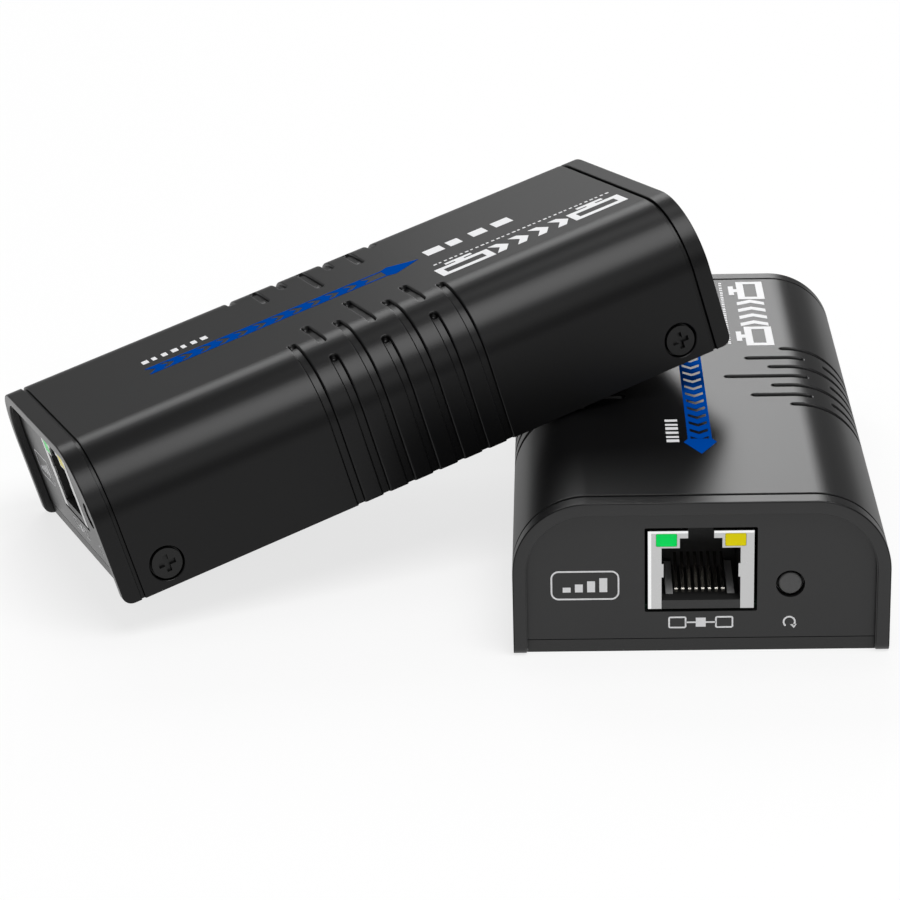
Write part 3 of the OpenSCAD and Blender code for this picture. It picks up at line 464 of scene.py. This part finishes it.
def frame_bars(x0, y0, x1, y1, r):
    """A rounded frame of fine stroke, as four bars and four corner sectors."""
    half = STROKE / 2
    parts = [
        bar(x0 + r, y0 - half, x1 - r, y0 + half), bar(x0 + r, y1 - half, x1 - r, y1 + half),
        bar(x0 - half, y0 + r, x0 + half, y1 - r), bar(x1 - half, y0 + r, x1 + half, y1 - r),
    ]
    corners = [(x1 - r, y1 - r), (x0 + r, y1 - r), (x0 + r, y0 + r), (x1 - r, y0 + r)]
    for quarter, (x, y) in enumerate(corners):
        parts.append(ring_sector(x, y, r, STROKE, 90 * quarter, 90 * quarter + 90, 8))
    return parts


def flow_arrow(x, tail, tip):
    """The blue arrow: a head, two rails and a row of solid chevrons between the rails."""
    half = 1.9
    barb = 2.6
    head_l = 5.0
    neck_l = 1.4
    rail = 0.45
    step = 3.3
    solid = 2.1
    start = 0.2
    way = 1 if tip > tail else -1
    base = tip - way * head_l
    neck = base - way * neck_l
    head = [(x - half, neck), (x - barb, base), (x, tip), (x + barb, base), (x + half, neck)]
    rails = [
        bar(x - half, tail, x - half + rail, neck), bar(x + half - rail, tail, x + half, neck)
    ]
    chevrons = [
        chevron(x, tail + way * (k * step + start), half - rail, way * solid, way * CHEVRON_POINT)
        for k in range(int(abs(neck - tail) // step))
    ]
    return [head] + rails + chevrons


def screen_mark(x0, x1, y0, y1):
    """A generic screen seen with its top towards +X: a bold frame on a stem and a foot."""
    stroke = 1.25
    foot = 0.9
    half_foot = 2.4
    stem = 0.6
    half_stem = 0.8
    left = x0 + foot + stem
    middle = (y0 + y1) / 2
    return [
        bar(left, y0, left + stroke, y1), bar(x1 - stroke, y0, x1, y1),
        bar(left + stroke, y0, x1 - stroke, y0 + stroke),
        bar(left + stroke, y1 - stroke, x1 - stroke, y1),
        bar(x0, middle - half_foot, x0 + foot, middle + half_foot),
        bar(x0 + foot, middle - half_stem, left, middle + half_stem),
    ]


def link_marks(x0, x1, y0, y1):
    """Two screens with solid chevrons running from one to the other."""
    span = 9.6
    half = 2.4
    solid = 1.6
    count = 4
    offset = 0.4
    middle = (x0 + x1) / 2 + offset
    room = (y1 - y0 - 2 * span) / count
    lead = (room - solid - CHEVRON_POINT) / 2
    screens = screen_mark(x0, x1, y0, y0 + span) + screen_mark(x0, x1, y1 - span, y1)
    return screens + [
        chevron(middle, y0 + span + room * k + lead, half, solid, CHEVRON_POINT)
        for k in range(count)
    ]


def dashes(x0, x1, y0, y1, count, fill=0.62):
    """A row of small bars along Y, of three lengths in turn. The longest fill the given share of
    their step."""
    shares = (1.0, 0.7, 0.85)
    step = (y1 - y0) / count
    return [
        bar(x0, y0 + k * step, x1, y0 + (k + fill * shares[k % 3]) * step) for k in range(count)
    ]


def badge_marks():
    """A rounded frame with four rising bars, to the left of the network socket."""
    first = -20.9
    step = 1.85
    width = 1.2
    foot = 9.9
    height = 0.8
    rise = 0.5
    parts = frame_bars(-22.6, 8.75, -12.45, 13.3, r=1.1)
    for k in range(4):
        left = first + step * k
        parts.append(bar(left, foot, left + width, foot + height + rise * k))
    return parts


def network_marks():
    """Two small devices joined by a line with a node on it, under the network socket."""
    z = 4.7
    half_h = 0.85
    near = 2.3
    far = 4.8
    node = 0.75
    parts = frame_bars(-far, z - half_h, -near, z + half_h, r=0.2)
    parts += frame_bars(near, z - half_h, far, z + half_h, r=0.2)
    parts.append(bar(-near, z - LINE_HALF_T, -node, z + LINE_HALF_T))
    parts.append(bar(node, z - LINE_HALF_T, near, z + LINE_HALF_T))
    parts.append(block(0, z, node, node))
    return parts


def restart_marks():
    """A round arrow, under the reset button: a ring with a gap, and a triangle for its head
    where the ring starts."""
    x = 13.4
    z = 4.6
    r = 0.85
    stroke = 0.26
    start = -40
    end = 230
    angle = math.radians(start)
    tip_x = x + r * math.cos(angle)
    tip_z = z + r * math.sin(angle)
    head = [(tip_x - 0.5, tip_z + 0.12), (tip_x + 0.5, tip_z + 0.2), (tip_x + 0.05, tip_z - 0.5)]
    return [ring_sector(x, z, r, stroke, start, end, 24), head]


def ray_marks():
    """Three rays from a dot, under the infrared socket."""
    x = -13.0
    z = 3.95
    radii = (0.85, 1.4, 1.95)
    dot = block(x, z, STROKE, STROKE)
    return [dot] + [ring_sector(x, z, r, STROKE, 40, 140, 10) for r in radii]


def plug_marks():
    """A plug's open ring round its pin, with a lead on each side, under the power socket."""
    x = 14.0
    z = 4.7
    ring_r = 0.95
    half_pin = 0.3
    pin_lead_end = 1.9
    ring_lead_start = 1.2
    ring_lead_end = 2.4
    return [
        ring_sector(x, z, ring_r, STROKE, 50, 310, 24), block(x, z, half_pin, half_pin),
        bar(x + half_pin, z - LINE_HALF_T, x + pin_lead_end, z + LINE_HALF_T),
        bar(x - ring_lead_end, z - LINE_HALF_T, x - ring_lead_start, z + LINE_HALF_T),
    ]


def source_marks():
    """Marks under the sockets of the video end: rays, a screen on a foot, and a plug."""
    half_w = 1.6
    half_foot = 0.8
    screen = frame_bars(-half_w, 4.45, half_w, 6.05, r=0.2)
    foot = bar(-half_foot, 3.8, half_foot, 4.05)
    return ray_marks() + screen + [foot] + plug_marks()


# Network socket

def shield_painted_highlights():
    """Painted highlights on the bends of the socket's plated sheet, as thin bright plates: down
    its left side, and along its top on both sides of the notch."""
    inset = 0.02
    side_w = 0.5
    top_h = 0.36
    notch = 1.97
    low = JACK_Z + inset
    high = JACK_Z + JACK_H - inset
    return [
        bar(-JACK_HALF_W + inset, low, -JACK_HALF_W + side_w, high),
        bar(-JACK_HALF_W + side_w, high - top_h, -notch, high),
        bar(notch, high - top_h, JACK_HALF_W - inset, high),
    ]


def rail_painted_highlights(box, material):
    """Painted highlights on the two rails' tops beside the contacts: thin plates that lie on the
    rails' slopes. Each slope runs between two pairs of a length from the mouth and a height over
    the socket's base, and the sides of a plate are told by the numbers of its eight corners."""
    edges = (4.12, 5.22)
    slope = ((2.35, 1.41), (13.0, 2.14))
    thickness = 0.04
    sides = [(0, 4, 6, 2), (1, 3, 7, 5), (0, 1, 5, 4), (2, 6, 7, 3), (0, 2, 3, 1), (4, 5, 7, 6)]
    corners = []
    faces = []
    for side in (-1, 1):
        faces += [[corner + len(corners) for corner in face[::side]] for face in sides]
        corners += [
            (side * x, JACK_Y + y, JACK_Z + z + lift)
            for y, z in slope for x in edges for lift in (0, thickness)
        ]
    return place(box, "rail_painted_highlights", np.array(corners), faces, material, sharp=20)


# Shader nodes

# Numbers of the sockets that hold colours in a Mix node, where names repeat
MIX_FIRST = 6
MIX_SECOND = 7
MIX_RESULT = 2


def node_group(name, inputs, outputs):
    """A new group with number sockets, and the nodes at its two ends."""
    tree = bpy.data.node_groups.new(name, "ShaderNodeTree")
    for label, value in inputs.items():
        socket = tree.interface.new_socket(label, in_out="INPUT", socket_type="NodeSocketFloat")
        socket.default_value = value
    for label in outputs:
        tree.interface.new_socket(label, in_out="OUTPUT", socket_type="NodeSocketFloat")
    return tree, tree.nodes.new("NodeGroupInput"), tree.nodes.new("NodeGroupOutput")


def add(tree, kind, inputs=None, **settings):
    """A node with its settings and its plain input values."""
    node = tree.nodes.new("ShaderNode" + kind)
    for key, value in settings.items():
        setattr(node, key, value)
    for key, value in (inputs or {}).items():
        node.inputs[key].default_value = value
    return node


def calc(tree, operation, first, second, **settings):
    """The result of a Math node on a socket and a second socket or plain number."""
    node = add(tree, "Math", operation=operation, **settings)
    tree.links.new(first, node.inputs[0])
    if isinstance(second, float):
        node.inputs[1].default_value = second
    else:
        tree.links.new(second, node.inputs[1])
    return node.outputs[0]


def grain_group():
    """Fine moulded grain as a height, a slow unevenness of the tone in patches, and smudges,
    which are broader than the patches."""
    smudge_share = 0.35
    tree, start, end = node_group(
        "moulded grain", {"Grain per metre": 4000.0, "Patches per metre": 40.0},
        ("Height", "Tone", "Smudge"),
    )
    spot = add(tree, "TexCoord")
    grain = start.outputs["Grain per metre"]
    patches = start.outputs["Patches per metre"]
    smudges = calc(tree, "MULTIPLY", patches, smudge_share)
    for label, scale, look in (
        ("Height", grain, {"Detail": 3.0, "Roughness": 0.6}),
        ("Tone", patches, {"Detail": 2.0, "Roughness": 0.5}),
        ("Smudge", smudges, {"Detail": 4.0, "Roughness": 0.65, "Distortion": 1.2}),
    ):
        noise = add(tree, "TexNoise", look)
        tree.links.new(spot.outputs["Object"], noise.inputs["Vector"])
        tree.links.new(scale, noise.inputs["Scale"])
        tree.links.new(noise.outputs[0], end.inputs[label])
    return tree


def wear_group():
    """Hairline marks: thin ridges of a stretched noise, kept where a second noise is high."""
    tree, start, end = node_group("hairlines", {"Amount": 0.5}, ("Mask",))
    spot = add(tree, "TexCoord").outputs["Object"]
    stretch = add(tree, "Mapping", {"Rotation": (0.3, 0.5, 0.7), "Scale": (900.0, 60.0, 900.0)})
    tree.links.new(spot, stretch.inputs["Vector"])
    masks = []
    for way, scale, low, high in (
        (stretch.outputs["Vector"], 1.0, 0.66, 0.74), (spot, 90.0, 0.5, 0.65)
    ):
        noise = add(tree, "TexNoise", {"Scale": scale, "Detail": 2.0})
        mask = add(tree, "MapRange", {"From Min": low, "From Max": high})
        tree.links.new(way, noise.inputs["Vector"])
        tree.links.new(noise.outputs[0], mask.inputs["Value"])
        masks.append(mask.outputs["Result"])
    lines = calc(tree, "MULTIPLY", *masks)
    amount = calc(tree, "MULTIPLY", lines, start.outputs["Amount"])
    tree.links.new(amount, end.inputs["Mask"])
    return tree


GRAIN = grain_group()
WEAR = wear_group()


# Materials

# How far the roughness wanders to each side, and the range that the smudge noise mostly keeps to
ROUGHNESS_SPREAD = 0.05
SMUDGE_RANGE = (0.3, 0.7)


def surface(name, colour, roughness, shift=0.15, grain=4000.0, depth=0.02, wear=0.0, **constants):
    """A shader whose colour wanders by a share of itself, whose roughness wanders by a spread
    and rises on the hairlines, and whose bump is the moulded grain, depth in millimetres."""
    material = bpy.data.materials.new(name)
    material.use_nodes = True
    tree = material.node_tree
    shader = tree.nodes["Principled BSDF"]
    for key, value in constants.items():
        shader.inputs[key.replace("_", " ")].default_value = value
    texture = add(tree, "Group", node_tree=GRAIN)
    texture.inputs["Grain per metre"].default_value = grain
    tint = add(tree, "Mix", data_type="RGBA")
    tint.inputs[MIX_FIRST].default_value = (*[c * (1 - shift) for c in colour], 1)
    tint.inputs[MIX_SECOND].default_value = (*[min(1, c * (1 + shift)) for c in colour], 1)
    rough = add(tree, "MapRange", {
        "From Min": SMUDGE_RANGE[0], "From Max": SMUDGE_RANGE[1],
        "To Min": roughness - ROUGHNESS_SPREAD, "To Max": roughness + ROUGHNESS_SPREAD,
    })
    bump = add(tree, "Bump", {"Strength": 1.0, "Distance": depth * MM})
    tree.links.new(texture.outputs["Tone"], tint.inputs["Factor"])
    tree.links.new(texture.outputs["Smudge"], rough.inputs["Value"])
    tree.links.new(texture.outputs["Height"], bump.inputs["Height"])
    roughness_now = rough.outputs["Result"]
    if wear:
        marks = add(tree, "Group", {"Amount": wear}, node_tree=WEAR)
        roughness_now = calc(tree, "ADD", roughness_now, marks.outputs["Mask"], use_clamp=True)
    tree.links.new(roughness_now, shader.inputs["Roughness"])
    tree.links.new(tint.outputs[MIX_RESULT], shader.inputs["Base Color"])
    tree.links.new(bump.outputs["Normal"], shader.inputs["Normal"])
    return material


def grey(level):
    """A colour without a hue."""
    return (level, level, level)


def satin(name, colour, roughness, coat, **look):
    """A near-black moulding whose gloss is all in a thin satin coat."""
    return surface(name, colour, roughness, Specular_IOR_Level=0.0, Coat_Weight=coat,
                   Coat_Roughness=0.3, **look)


def lens(name, colour):
    """A coloured window of the network socket with a faint light of its own."""
    return surface(name, colour, 0.25, shift=0.06, Specular_IOR_Level=0.1,
                   Emission_Color=(*colour, 1.0), Emission_Strength=0.12)


def metal(name, colour, roughness, **look):
    """Bare metal."""
    return surface(name, colour, roughness, Metallic=1.0, **look)


LOOKS = {
    "bottom_plate": surface("black plate", grey(0.008), 0.4, wear=0.1),
    "lan_panel": surface("end panel", (0.009, 0.009, 0.0092), 0.35, grain=6000.0, depth=0.006),
    "side_screws": satin("black screw", grey(0.006), 0.35, coat=0.6, grain=2500.0, wear=0.1),
    "circuit_board": surface("green board", (0.0, 0.025, 0.012), 0.45),
    "board_screws": metal("steel screw", grey(0.6), 0.25),
    "lan_shield": metal("plated sheet", grey(0.57), 0.3, shift=0.05, grain=1500.0),
    "lan_housing": surface("black moulding", grey(0.016), 0.45),
    "lan_contacts": metal("gold contact", (0.46, 0.44, 0.4), 0.25, shift=0.1),
    "green_light": lens("green lens", (0.0, 0.66, 0.1)),
    "yellow_light": lens("yellow lens", (0.68, 0.58, 0.0)),
    "reset_button": surface("button", grey(0.05), 0.4),
    "power_pin": metal("plated pin", (0.75, 0.75, 0.73), 0.2),
    "power_light": surface("clear lens", (0.8, 0.85, 0.9), 0.1, shift=0.05),
    "main_chip": surface("chip", (0.02, 0.02, 0.021), 0.5),
    "heat_sink": metal("heat sink", (0.3, 0.31, 0.32), 0.4),
    "capacitors": metal("can", grey(0.7), 0.3),
    "power_choke": surface("ferrite", grey(0.05), 0.6),
}
SAME_LOOK = {
    "hdmi_panel": "lan_panel", "reset_cover": "lan_shield", "hdmi_shell": "lan_shield",
    "reset_switch": "lan_housing", "hdmi_tongue": "lan_housing", "infrared_socket": "lan_housing",
    "power_socket": "lan_housing", "hdmi_contacts": "lan_contacts", "memory_chips": "main_chip",
    "line_transformer": "main_chip", "crystal": "capacitors",
}
housing_skin = satin("satin black housing", (0.0022, 0.0022, 0.0024), 0.3, coat=0.5,
                     grain=5000.0, depth=0.003, wear=0.06)
white_ink = surface("white ink", (0.72, 0.72, 0.73), 0.5, shift=0.04, depth=0.004,
                    Specular_IOR_Level=0.2)
grey_ink = surface("grey ink", (0.68, 0.68, 0.69), 0.5, shift=0.05, depth=0.004)
blue_ink = surface("blue ink", (0.0, 0.05, 0.29), 0.45, shift=0.08, depth=0.004,
                   Specular_IOR_Level=0.0)
# Lighter grey for the rails' tops in the socket's mouth: a painted highlight
rail_highlight_paint = surface("painted rail highlight", grey(0.3), 0.5)
# Pale bright metal for thin plates on the socket's sheet: a painted highlight on its bends
edge_highlight_paint = metal("painted bend highlight", grey(0.95), 0.25, shift=0.02, grain=1500.0)


# Pieces

# The top shells keep their material, because the new housings stand for them
for name, node in frame["nodes"].items():
    part = name.split("_", 1)[1]
    if part != "top_shell":
        node.material_slots[0].material = LOOKS[SAME_LOOK.get(part, part)]

for box in BOXES:
    housing(box, housing_skin, LOOKS["lan_panel"])
    # Lighter plates on the socket's rails: a painted highlight
    rail_painted_highlights(box, rail_highlight_paint)
    # Thin bright plates on the edges of the socket's sheet: a painted highlight
    printed(box, "shield_painted_highlights", shield_painted_highlights(), edge_highlight_paint, "end", JACK_Y - INK)
    printed(box, "badge_print", badge_marks(), grey_ink, "end", NETWORK_END)
    printed(box, "network_print", network_marks(), grey_ink, "end", NETWORK_END)
    printed(box, "restart_print", restart_marks(), grey_ink, "end", NETWORK_END)
    printed(box, "source_print", source_marks(), grey_ink, "end", VIDEO_END)

printed("sender", "arrow_print", flow_arrow(0.95, 15.0, -34.4), blue_ink)
printed("sender", "link_print", link_marks(9.5, 15.7, 15.0, 49.0), white_ink)
printed("sender", "line_print", dashes(7.9, 8.4, 16.0, 49.0, 34), grey_ink)
printed("sender", "label_print", dashes(-4.3, -2.3, -29.3, -18.7, 6), white_ink)
printed("receiver", "arrow_print", flow_arrow(0.2, -33.5, 15.6), blue_ink)
printed("receiver", "link_print", link_marks(8.0, 14.2, 15.0, 49.0), white_ink)
printed("receiver", "line_print", dashes(6.4, 6.9, 16.0, 49.0, 34), grey_ink)
printed("receiver", "small_print", dashes(-2.6, 0.6, 17.3, 34.3, 4, fill=0.75), white_ink)
printed("receiver", "label_print", dashes(-6.1, -4.3, -33.0, -20.7, 7), white_ink)


# Floor

def floor_material():
    """Pale floor that takes the shadow. What the camera sees of it, also in gloss and through
    glass, is for a share plain white."""
    white_share = 0.75
    material = bpy.data.materials.new("floor")
    material.use_nodes = True
    tree = material.node_tree
    shader = tree.nodes["Principled BSDF"]
    shader.inputs["Base Color"].default_value = (*grey(0.85), 1)
    shader.inputs["Roughness"].default_value = 1.0
    shader.inputs["Specular IOR Level"].default_value = 0.0
    white = add(tree, "Emission", {"Color": (*grey(1), 1), "Strength": 1.0})
    path = add(tree, "LightPath")
    seen = path.outputs["Is Camera Ray"]
    for kind in ("Is Glossy Ray", "Is Transmission Ray"):
        seen = calc(tree, "MAXIMUM", seen, path.outputs[kind])
    mix = add(tree, "MixShader")
    tree.links.new(calc(tree, "MULTIPLY", seen, white_share), mix.inputs[0])
    tree.links.new(shader.outputs[0], mix.inputs[1])
    tree.links.new(white.outputs[0], mix.inputs[2])
    tree.links.new(mix.outputs[0], tree.nodes["Material Output"].inputs["Surface"])
    return material


def floor():
    """A square floor at the height of the sender's underside."""
    half = 4.0
    corners = [(-half, -half, 0), (half, -half, 0), (half, half, 0), (-half, half, 0)]
    mesh = bpy.data.meshes.new("floor")
    mesh.from_pydata(corners, [], [(0, 1, 2, 3)])
    mesh.materials.append(floor_material())
    ground = bpy.data.objects.new("floor", mesh)
    bpy.context.scene.collection.objects.link(ground)


floor()


# Lights

# The point that the lamps face
LIT_POINT = Vector((-0.03, 0, 0.02))


def softbox(name, azimuth, elevation, distance, width, height, radiance):
    """A flat lamp facing the object. Azimuth 0 is behind the object and 90 is to its right. Its
    power in watts is the radiance times pi times its area."""
    lamp = bpy.data.lights.new(name, "AREA")
    lamp.shape = "RECTANGLE"
    lamp.size = width
    lamp.size_y = height
    lamp.energy = radiance * math.pi * width * height
    turn = math.radians(azimuth)
    rise = math.radians(elevation)
    way = Vector((math.sin(turn) * math.cos(rise), math.cos(turn) * math.cos(rise), math.sin(rise)))
    holder = bpy.data.objects.new(name, lamp)
    holder.location = way * distance + LIT_POINT
    holder.rotation_mode = "QUATERNION"
    holder.rotation_quaternion = way.to_track_quat("Z", "Y")
    holder.visible_camera = False
    bpy.context.scene.collection.objects.link(holder)


def studio_world(level):
    """Even grey light from all around."""
    world = bpy.data.worlds.new("studio")
    bpy.context.scene.world = world
    world.use_nodes = True
    background = world.node_tree.nodes["Background"]
    background.inputs["Color"].default_value = (*grey(level), 1)
    background.inputs["Strength"].default_value = 1.0


# Azimuth, elevation, distance, width, height and radiance of each lamp
softbox("back box", 4.5, 23, 1.6, 0.38, 0.40, 6.9)
softbox("low back box", -6, 13, 1.6, 0.34, 0.34, 0.9)
softbox("upper back strip", -17, 38, 1.6, 0.8, 0.53, 4.5)
softbox("top box", 10, 75, 1.6, 0.5, 0.45, 2.4)
softbox("front overhead box", 145, 66, 1.5, 1.0, 0.85, 6.0)
softbox("front fill", 160, 28, 1.6, 1.4, 0.5, 1.0)
studio_world(0.33)

bpy.context.scene.view_settings.view_transform = "Standard"


# Camera

CAMERA_PLACE = (-0.020722, -0.464841, 0.197167)
CAMERA_PITCH = math.radians(21.645)
CAMERA_ROLL = math.radians(-1.632)
CAMERA_YAW = math.radians(-2.314)
SENSOR_W = 36.0
FOCAL_LENGTH = 119.25


def camera():
    """The camera at the photograph's angle: pitched below the horizon, rolled, and turned to
    the side."""
    level = math.cos(CAMERA_PITCH)
    ahead = Vector((
        math.sin(CAMERA_YAW) * level, math.cos(CAMERA_YAW) * level, -math.sin(CAMERA_PITCH)
    ))
    right = Vector((math.cos(CAMERA_YAW), -math.sin(CAMERA_YAW), 0))
    up = right.cross(ahead)
    side = math.cos(CAMERA_ROLL) * right + math.sin(CAMERA_ROLL) * up
    top = -math.sin(CAMERA_ROLL) * right + math.cos(CAMERA_ROLL) * up
    lens_data = bpy.data.cameras.new("camera")
    lens_data.sensor_width = SENSOR_W
    lens_data.lens = FOCAL_LENGTH
    lens_data.clip_start = 0.01
    holder = bpy.data.objects.new("camera", lens_data)
    turn = Matrix((side, top, -ahead)).transposed().to_4x4()
    holder.matrix_world = Matrix.Translation(CAMERA_PLACE) @ turn
    bpy.context.scene.collection.objects.link(holder)
    bpy.context.scene.camera = holder


camera()
